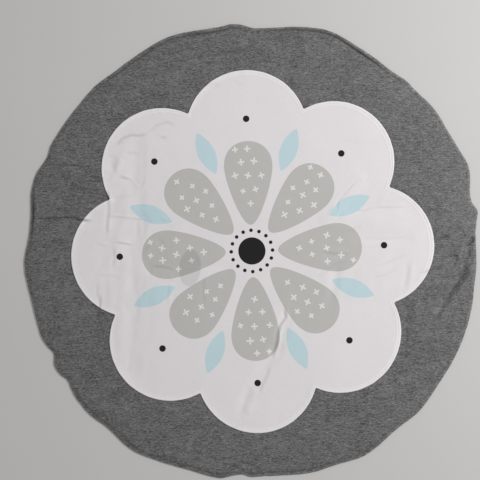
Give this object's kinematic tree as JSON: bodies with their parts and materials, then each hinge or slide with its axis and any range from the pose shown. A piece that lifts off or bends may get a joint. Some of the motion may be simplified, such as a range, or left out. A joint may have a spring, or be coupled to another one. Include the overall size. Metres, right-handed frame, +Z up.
{
  "type": "round baby play mat",
  "caption": "Round, thinly padded floor mat of heathered grey jersey with a turned, topstitched rim and a white cotton panel with round lobes sewn on top.",
  "frame": {"origin": "middle of the flat underside, where the mat meets the floor", "axes": "+Z up out of the mat's face, +Y towards the top of the picture, +X towards its right"},
  "size_m": [0.8992, 0.9014, 0.008],
  "materials": {
    "jersey": "matte",
    "cotton": "matte"
  },
  "bodies": {
    "root": {"mat_body": "jersey", "cotton_panel": "cotton"}
  },
  "joints": []
}
